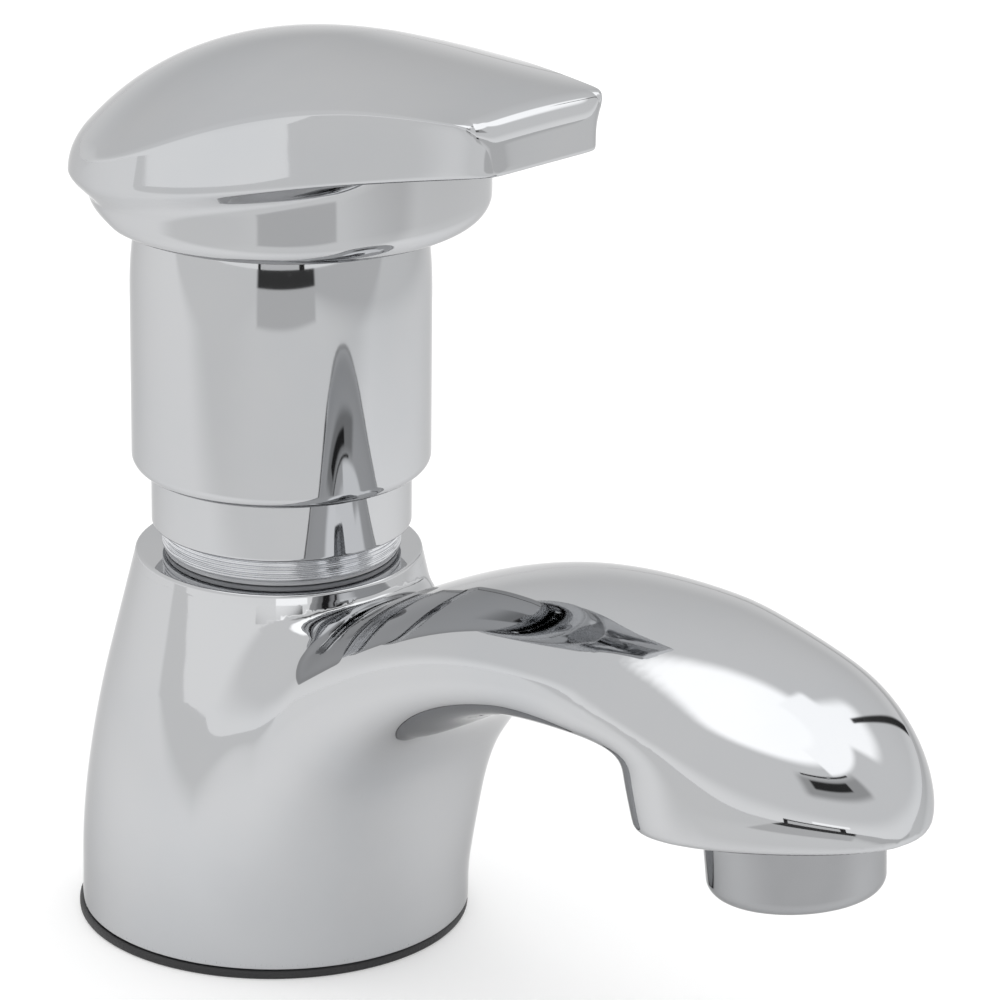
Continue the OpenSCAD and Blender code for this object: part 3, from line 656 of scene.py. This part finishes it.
# the handle in columns by angle: dome, crease, side band, underside, cup and bores; a crease is a corner curve of its
# own size
def handleSkin(s):
    fine = np.linspace(-np.pi, np.pi, 7201)
    outline = handlePlan(fine, s["backR"] + 1, 50, 14, s)
    dense = 1 + 3 * np.exp(-((np.degrees(np.abs(fine)) - 13) / 3.5) ** 2)
    far = np.concatenate([[0], np.cumsum(np.linalg.norm(np.diff(outline, axis=0), axis=1) * dense[1:])])
    g = np.interp(np.linspace(0, far[-1], s["turns"] + 1)[:-1], far, fine)
    turnedBy = np.degrees(np.abs(g))
    front, back = smoothStep(-turnedBy, -15.5, -11), smoothStep(turnedBy, s["panelFrom"], s["panelTo"])
    top = topPlan(g, s)
    band = handlePlan(g, s["backR"] + 1.1 + np.cos(g), s["bandLip"], s["bandFall"], s, s["bandAhead"])
    cup = np.stack([s["cupX"] + s["cupR"] * np.cos(g), s["cupR"] * np.sin(g)], -1)
    crown = s["crownZ"]
    edgeZ = domeHeight(top[:, 0], top[:, 1], s)
    bandZ = -softMin(s["bandDrop"] - crown - s["bandLean"] * band[:, 0], s["bandBack"] - crown + 0 * g, 1)

    def lifted(plan, z):
        return np.concatenate([plan, (z + 0 * g)[:, None]], 1)

    wallFoot = s["cupZ"] + s["cupRound"]
    crease, edge = lifted(top, edgeZ), lifted(band, bandZ)
    slit, foot = lifted(cup, np.maximum(bandZ - s["underDrop"], wallFoot + 0.8)), lifted(cup, wallFoot)
    mid = np.array([s["midX"], 0.0])
    span = np.linalg.norm(top - mid, axis=1)

    (down, bandRun), (inward, underRun) = unit(edge - crease), unit(slit - edge)
    wallDown, wallRun = unit(foot - slit)
    cutCrease = np.minimum(s["creaseRound"] + (s["frontRound"] - s["creaseRound"]) * front, 0.4 * bandRun)
    cutCrease = cutCrease + (0.72 * bandRun - cutCrease) * back
    cutDome = cutCrease + (s["rollDome"] - cutCrease) * back
    cutEdge = np.minimum(s["bandRound"], (0.4 - 0.2 * back) * np.minimum(bandRun, underRun))
    cutSlit = np.minimum(s["slitRound"], 0.4 * np.minimum(underRun, wallRun))
    reach = np.sin(np.linspace(0.02, 1, 52) * np.pi / 2)[:, None] * (1 - cutDome / np.hypot(span, crown - edgeZ))
    plan = mid + (top - mid) * reach[..., None]
    dome = np.concatenate([plan, domeHeight(plan[..., 0], plan[..., 1], s)[..., None]], -1)
    marks = [crease + down * cutCrease[:, None], edge - down * cutEdge[:, None], edge + inward * cutEdge[:, None],
             slit - inward * cutSlit[:, None], slit + wallDown * cutSlit[:, None]]
    side = [cornerCurve(dome[-1], crease, marks[0], 7), straight(marks[0], marks[1], 10),
            cornerCurve(marks[1], edge, marks[2], 6), straight(marks[2], marks[3], 6),
            cornerCurve(marks[3], slit, marks[4], 6), straight(marks[4], foot, 8)]
    b = np.radians(np.linspace(8, 90, 11))[:, None]
    r = s["cupR"] - s["cupRound"] * (1 - np.cos(b))
    cupLow = s["cupZ"] + s["cupRound"] * (1 - np.sin(b)) + 0 * g
    side.append(np.stack([s["cupX"] + r * np.cos(g), r * np.sin(g), cupLow], -1))
    side = np.concatenate(side)
    for _ in range(s["backRelax"]):
        side[8:-2] += 0.5 * back[:, None] * ((side[7:-3] + side[9:-1]) / 2 - side[8:-2])
    bores = roundedChain([(s["boreR"], s["cupZ"]), (s["boreR"], s["boreZ"]), (s["bossR"], s["boreZ"]),
                          (s["bossR"], s["bossZ"]), (s["stemR"], s["bossZ"]), (s["stemR"], s["stemZ"]),
                          (0.05, s["stemZ"])], pitch=4)
    inner = np.stack([bores[:, :1] * np.cos(g), bores[:, :1] * np.sin(g), bores[:, 1:] + 0 * g], -1)
    return np.concatenate([dome, side, inner])


handleGrid = handleSkin(handleSet)
rows, cols = handleGrid.shape[:2]
poles = [[handleSet["midX"], 0, handleSet["crownZ"]], [0, 0, handleSet["stemZ"]]]
ring = np.arange(cols)
topFan = np.stack([np.full(cols, rows * cols), ring, (ring + 1) % cols], 1)
lastRow = (rows - 1) * cols
lowFan = np.stack([np.full(cols, rows * cols + 1), lastRow + (ring + 1) % cols, lastRow + ring], 1)
makePiece("paddleHandle", np.concatenate([handleGrid.reshape(-1, 3), poles]),
          [gridFaces(rows, cols)[:, ::-1], topFan, lowFan], "plunger", chrome, "chrome", ["handle"])

sleeveSet = {"r": 20.75, "low": 66.8, "top": 105.7, "round": 1.8, "shoulder": 14, "taper": 1.4,
             "bore": 18.43, "roof": 103, "stem": 4.05}


# the sleeve's wall is straight, then draws in by taper * f^2.2 over the shoulder; roof and bore close it
def sleeveSkin(s):
    f = np.linspace(0, 1, 24)[:, None]
    start = s["top"] - s["shoulder"]
    side = np.concatenate([s["r"] - s["taper"] * f ** 2.2, start + (s["shoulder"] - 1) * f], 1)
    low = roundedChain([(s["stem"], s["roof"]), (s["bore"], s["roof"]), (s["bore"], s["low"], 0.25),
                        (s["r"], s["low"], s["round"]), (s["r"], start)], 14)
    high = roundedChain([tuple(side[-1]), (s["r"] - 2.3, s["top"], 0.8), (s["stem"], s["top"]),
                         (s["stem"], s["roof"])], 8)
    return revolve(np.concatenate([low[:-1], side[:-1], high[:-1]]), 200, loop=True)


makePiece("handleSleeve", *sleeveSkin(sleeveSet), "plunger", chrome, "chrome", ["sleeve"])

collarSet = {"r": 18.08, "low": 58.45, "top": 79, "bore": 15.05, "round": 0.45}
s = collarSet
makePiece("guideCollar", *turnedRing([(s["bore"], s["low"]), (s["r"], s["low"], s["round"]), (s["r"], s["top"], 1),
          (s["bore"], s["top"]), (s["bore"], s["low"])], 200), "tap", chrome, "chrome", ["guide_collar"])

bonnetSet = {"neckR": 16.6, "low": 55.15, "shoulder": 58.4, "barrelR": 15, "barrelTop": 77, "barrelBore": 13,
             "roof": 65.8, "stemHole": 4.6, "bushR": 8.05, "bushTop": 63.8, "bushLow": 54.25,
             "skirtBore": 12.8, "skirtR": 14.95, "skirtLow": 43.2,
             "grooves": 5, "grooveDeep": 0.16, "grooveWide": 0.3, "grooveSide": 0.08, "grooveRound": 0.05}


# neck with shallow turned grooves, evenly spaced between its foot and the collar
def bonnetProfile(s):
    pitch = (s["shoulder"] - s["low"] - 0.5) / s["grooves"]
    neck = [(s["neckR"], s["low"], 0.12)]
    for i in range(s["grooves"]):
        z = s["low"] + 0.45 + pitch * i
        deep = s["neckR"] - s["grooveDeep"]
        lean, wide = s["grooveSide"], s["grooveWide"]
        line = [(s["neckR"], z), (deep, z + lean), (deep, z + wide), (s["neckR"], z + wide + lean)]
        neck += [(*place, s["grooveRound"]) for place in line]
    inner = [(s["barrelBore"], s["barrelTop"]), (s["barrelBore"], s["roof"]), (s["stemHole"], s["roof"]),
             (s["stemHole"], s["bushTop"]), (s["bushR"], s["bushTop"]), (s["bushR"], s["bushLow"]),
             (s["skirtBore"], s["bushLow"]), (s["skirtBore"], s["skirtLow"])]
    start = [(s["skirtBore"], s["skirtLow"]), (s["skirtR"], s["skirtLow"], 0.3), (s["skirtR"], s["low"])]
    top = [(s["neckR"], s["shoulder"], 0.1), (s["barrelR"], s["shoulder"]), (s["barrelR"], s["barrelTop"], 0.4)]
    return start + neck + top + inner


makePiece("bonnetNeck", *turnedRing(bonnetProfile(bonnetSet), 220, 3), "tap", turned, "turned_chrome", ["bonnet"])

bonnetSealSet = {"r": 16.2, "bore": 15.1, "low": 54.35, "top": 55.1}
s = bonnetSealSet
makePiece("bonnetSeal", *turnedRing([(s["bore"], s["low"]), (s["r"], s["low"], 0.2), (s["r"], s["top"], 0.2),
          (s["bore"], s["top"]), (s["bore"], s["low"])], 200), "tap", finishes["greyFibre"], "plastic",
          ["bonnet_gasket"])

nozzleSet = {"r": 11.95, "footR": 11.6, "low": -10.2, "seat": -0.6, "top": 8, "bore": 9.6, "mouth": 8.8, "round": 2}


# points of the outlet's own frame, whose origin is in the rim's plane and whose axis leans back by the tilt, in the
# part's frame
def atOutlet(points):
    tilt = math.radians(bodySet["rimTilt"])
    x, y, z = points.T
    reach, c, d = bodySet["reach"], math.cos(tilt), math.sin(tilt)
    return np.stack([reach + x * c - z * d, y, rimAt(reach) + x * d + z * c], 1)


s = nozzleSet
nozzleLine = [(s["mouth"], s["low"]), (s["footR"], s["low"], s["round"]), (s["r"], s["seat"]), (s["r"], s["top"], 0.3),
              (s["bore"], s["top"], 0.2), (s["bore"], s["low"] + 1.2, 0.2), (s["mouth"], s["low"] + 0.4, 0.1),
              (s["mouth"], s["low"])]
nozzlePoints, nozzleFaces = turnedRing(nozzleLine, 180, 10)
makePiece("outletNozzle", atOutlet(nozzlePoints), nozzleFaces, "tap", finishes["dullChrome"], "chrome", ["nozzle"])

gasketSet = {"r": 27.58, "centreX": -1.9, "top": 1.35, "bore": 10.98, "round": 0.45}
s = gasketSet
gasketLine = roundedChain([(s["bore"], 0), (s["r"], 0, s["round"]), (s["r"], s["top"], s["round"]),
                           (s["bore"], s["top"]), (s["bore"], 0)], 5)[:-1]
gasketCentre = s["centreX"] * smoothStep(gasketLine[:, 0], s["bore"] + 0.5, s["r"] - 2)
makePiece("baseGasket", *revolve(gasketLine, 200, gasketCentre, True), "tap", rubber, "rubber", ["base_gasket"])

shankSet = {"r": 10.4775, "low": -50, "top": 11.95, "bore": 7, "pitch": 1.814, "deep": 1.0, "plainZ": -1, "chamfer": 1,
            "reliefTop": -29.15, "relief": 0.8, "reliefDeep": 0.6, "turns": 96, "rowsPerTurn": 10}


# screw thread: the radius follows a rounded saw of height / pitch less the part of a turn, and runs out near the deck
def shankSkin(s):
    g = np.linspace(0, 2 * np.pi, s["turns"], endpoint=False)[None, :]
    z = np.arange(s["low"], s["top"], s["pitch"] / s["rowsPerTurn"])[:, None]
    saw = np.abs(2 * ((z / s["pitch"] - g / (2 * np.pi)) % 1) - 1)
    deep = s["deep"] * smoothStep(saw, 0.12, 0.88) * (1 - smoothStep(z, s["plainZ"] - 2, s["plainZ"]))
    end = np.maximum(s["low"] + s["chamfer"] - z, 0)
    inRelief = (z < s["reliefTop"]) & (z > s["reliefTop"] - s["relief"])
    r = np.minimum(s["r"] - np.maximum(deep, inRelief * s["reliefDeep"]), s["r"] - end)
    closing = roundedChain([(s["r"], s["top"]), (s["bore"], s["top"], 0.3), (s["bore"], s["low"], 0.3),
                            (s["r"] - s["chamfer"], s["low"])], 4)[:-1]
    r = np.concatenate([r, closing[:, :1] + 0 * g])
    z = np.concatenate([z, closing[:, 1:]]) + 0 * g
    return np.stack([r * np.cos(g), r * np.sin(g), z], -1).reshape(-1, 3), gridFaces(len(r), s["turns"], True)


makePiece("threadedShank", *shankSkin(shankSet), "tap", brass, "brass", ["inlet_shank"])

washerSet = {"r": 18, "bore": 10.98, "low": -22, "top": -20}
s = washerSet
makePiece("shankWasher", *turnedRing([(s["bore"], s["low"], 0.2), (s["r"], s["low"], 0.35), (s["r"], s["top"], 0.6),
          (s["bore"], s["top"], 0.2), (s["bore"], s["low"])]), "tap", steel, "steel", ["shank_washer"])

nutSet = {"width": 30, "low": -29.05, "top": -22.05, "bore": 10.53, "chamferR": 15.6, "cornerRound": 0.5, "turns": 360}


# hexagon nut: the radius by angle is the least of half the width over the cosine to each flat, and a cone takes the
# lower corners
def nutSkin(s):
    g = np.linspace(0, 2 * np.pi, s["turns"], endpoint=False)[None, :]
    flat = (g + np.pi / 6) % (np.pi / 3) - np.pi / 6
    half = s["width"] / 2
    hexagon = softMin(half / np.cos(flat), half / math.cos(math.pi / 6) + 0 * g - 0.1, s["cornerRound"] / 4)
    low = s["low"] + np.maximum(hexagon - s["chamferR"], 0)
    edge = np.minimum(hexagon, s["chamferR"])
    rows = [(s["bore"], s["low"]), (s["bore"] + 0.1, s["low"]), (edge - 0.15, s["low"]), (edge, s["low"] + 0.02),
            (hexagon, low + 0.05), (hexagon, low + 0.25), (hexagon, s["top"] - 0.35), (hexagon - 0.05, s["top"] - 0.12),
            (hexagon - 0.3, s["top"]), (s["bore"] + 0.1, s["top"]), (s["bore"], s["top"] - 0.1),
            (s["bore"], s["low"] + 0.1)]
    r = np.concatenate([a + 0 * g for a, b in rows])
    z = np.concatenate([b + 0 * g for a, b in rows])
    return np.stack([r * np.cos(g), r * np.sin(g), z], -1).reshape(-1, 3), gridFaces(len(rows), s["turns"], True)


makePiece("lockNut", *nutSkin(nutSet), "tap", brass, "brass", ["locknut"])

# the pieces inside keep their solids and get a finish
finishOf = {"rubber": rubber, "brass": brass, "steel": steel, "plastic": acetal}
insidePieces = {"rubber": ["lower_o_ring", "upper_o_ring", "stem_seal", "nozzle_gasket", "piston_seal", "seat_washer"],
                "brass": ["valve_seat", "washer_plate", "washer_nut"],
                "steel": ["set_screw", "stem", "spring_retainer", "retainer_clip", "return_spring"],
                "plastic": ["inlet_screen", "cartridge", "stem_bush", "flow_regulator", "piston"]}
for finishName, names in insidePieces.items():
    for name in names:
        cadNodes[name].data.materials.clear()
        cadNodes[name].data.materials.append(finishOf[finishName])
print("pieces inside finished:", sum(len(v) for v in insidePieces.values()))

# the room that the chrome mirrors, by direction: compass angle from the camera's side and height above the horizon
roomSet = {"turn": 45.5, "low": 1.2, "wall": 0.97, "wallFrom": 2, "wallTo": 16,
           "cards": [  # level, compass from and to, height from and to, soft edge, in degrees, lean of the sides
               ("ceilingBox", 1.9, -190, 190, 62, 100, 4, 0),
               ("sideBox", 1.8, 40, 150, 54, 72, 2, 0),
               ("frontBox", 1.8, 106, 142, 41, 58, 4, 0),
               ("dimRight", 0.5, 4, 66, 32, 51, 4, 0),
               ("darkCorner", 0.04, 12, 48, 40, 48, 1.2, 0),
               ("thinLine", 0.04, 8, 58, 51.6, 53, 0.4, 0),
               ("post", 0.05, 148.5, 151.5, 1, 46, 0.6, 0.4125),
               ("lensCard", 0.03, -15, 20, -0.5, 3.6, 0.2, 0),
               ("lensGlass", 0.8, -13, 16, -0.5, 2.7, 0.2, 0),
               ("slit", 1.7, 0, 24, 4.2, 6.2, 0.5, 0)]}


def makeRoom(s):
    world = bpy.data.worlds.new("studioRoom")
    scene.world = world
    world.use_nodes = True
    tree = world.node_tree
    background = tree.nodes["Background"]
    turnedBy = addNode(tree, "ShaderNodeVectorRotate", rotation_type="Z_AXIS")
    tree.links.new(addNode(tree, "ShaderNodeTexCoord").outputs["Generated"], turnedBy.inputs["Vector"])
    turnedBy.inputs["Angle"].default_value = -math.radians(s["turn"])
    parts = addNode(tree, "ShaderNodeSeparateXYZ")
    tree.links.new(turnedBy.outputs[0], parts.inputs[0])
    towards = mathNode(tree, "MULTIPLY", parts.outputs["Y"], -1)
    compass = mathNode(tree, "DEGREES", mathNode(tree, "ARCTAN2", parts.outputs["X"], towards))
    height = mathNode(tree, "DEGREES", mathNode(tree, "ARCSINE", parts.outputs["Z"]))
    level = rampNode(tree, height, s["wallFrom"], s["wallTo"], s["low"], s["wall"])
    for name, value, east, west, low, high, soft, lean in s["cards"]:
        sides = [rampNode(tree, height, low - soft, low + soft),
                 rampNode(tree, height, high - soft, high + soft, 1, 0)]
        if west - east < 360:
            leaned = mathNode(tree, "MULTIPLY_ADD", height, lean, compass) if lean else compass
            sides += [rampNode(tree, leaned, east - soft, east + soft),
                      rampNode(tree, leaned, west - soft, west + soft, 1, 0)]
        mask = sides[0]
        for side in sides[1:]:
            mask = mathNode(tree, "MULTIPLY", mask, side)
        level = mathNode(tree, "MULTIPLY_ADD", mask, mathNode(tree, "SUBTRACT", value, level), level)
    seen = addNode(tree, "ShaderNodeLightPath").outputs["Is Camera Ray"]
    tree.links.new(mathNode(tree, "MAXIMUM", level, seen), background.inputs["Strength"])
    background.inputs["Color"].default_value = (1, 1, 1, 1)


# each run of the floor's dimming, a painted shade, has its start and end in metres and, where it isn't from 0 to 1, its
# levels
floorSet = {"size": 60, "albedo": 0.76, "lift": 0.3, "fade": (0.08, 0.17, 1, 0.82), "right": (0.15, 0.42, 0.76, 0.5),
            "left": (-0.2, -0.06, 0.93, 1), "near": (0.3, 0.34, 1, 0), "far": (0.88, 1.0, 0.6, 0.05),
            "middle": 0.12, "sides": (0.37, 0.42)}  # of the wedge, in metres across for each metre ahead


# how far a place lies along a direction of the floor
def placeAlong(tree, way):
    dot = addNode(tree, "ShaderNodeVectorMath", operation="DOT_PRODUCT")
    tree.links.new(objectPlace(tree), dot.inputs[0])
    dot.inputs[1].default_value = tuple(way)
    return dot.outputs["Value"]


# a plain pale floor; only the chrome sees it dim, a painted shade: to both sides, a little ahead, and much more in a
# wedge on the camera's side, which darkens with the distance; it glows too, a painted light
def makeFloor(s):
    size, pale = s["size"], s["albedo"]
    mesh = bpy.data.meshes.new("floor")
    mesh.from_pydata([(-size, -size, 0), (size, -size, 0), (size, size, 0), (-size, size, 0)], [], [(0, 1, 2, 3)])
    plane = bpy.data.objects.new("floor", mesh)
    scene.collection.objects.link(plane)
    material, tree, shader = newMaterial("floorPaintedShade")
    shader.inputs["Roughness"].default_value = 0.9
    shader.inputs["Specular IOR Level"].default_value = 0
    shader.inputs["Emission Color"].default_value = (1, 1, 1, 1)
    mesh.materials.append(material)
    path = addNode(tree, "ShaderNodeLightPath")
    direct = path.outputs["Is Camera Ray"]
    seen = mathNode(tree, "MAXIMUM", direct, path.outputs["Is Glossy Ray"])
    seen = mathNode(tree, "MAXIMUM", seen, path.outputs["Is Transmission Ray"])
    a = math.radians(cameraSet["azimuth"])
    ahead = placeAlong(tree, (math.sin(a), -math.cos(a), 0))
    across = placeAlong(tree, (math.cos(a), math.sin(a), 0))
    # painted shade: towards the camera the floor dims a little, for every ray except the camera's
    fade = mathNode(tree, "MAXIMUM", rampNode(tree, ahead, *s["fade"]), direct)
    # painted shade: the floor is darker to the right and a little darker to the left, for every ray except the camera's
    plain = mathNode(tree, "MULTIPLY", rampNode(tree, across, *s["right"]), fade)
    plain = mathNode(tree, "MULTIPLY", plain, rampNode(tree, across, *s["left"]))
    plain = mathNode(tree, "MAXIMUM", plain, mathNode(tree, "MULTIPLY", direct, pale))
    # painted shade: a wedge on the camera's side, darker with the distance, for every ray except the camera's
    aside = mathNode(tree, "SUBTRACT", mathNode(tree, "DIVIDE", across, ahead), s["middle"])
    aside = mathNode(tree, "ABSOLUTE", aside)
    clear = mathNode(tree, "MAXIMUM", rampNode(tree, aside, *s["sides"]), rampNode(tree, ahead, *s["near"]))
    clear = mathNode(tree, "MAXIMUM", clear, direct)
    dim = rampNode(tree, ahead, *s["far"])
    level = mathNode(tree, "MULTIPLY_ADD", clear, mathNode(tree, "SUBTRACT", plain, dim), dim)
    paint = addNode(tree, "ShaderNodeCombineColor")
    for socket in paint.inputs:
        tree.links.new(level, socket)
    tree.links.new(paint.outputs[0], shader.inputs["Base Color"])
    # painted light: the floor glows by lift, evenly white to the camera, and for glossy and transmission rays it
    # lightens the tap's shadow on the floor
    glow = mathNode(tree, "MULTIPLY", mathNode(tree, "MULTIPLY", seen, s["lift"]), fade)
    glow = mathNode(tree, "MULTIPLY", glow, clear)
    tree.links.new(glow, shader.inputs["Emission Strength"])


makeRoom(roomSet)
makeFloor(floorSet)
print("stage set")
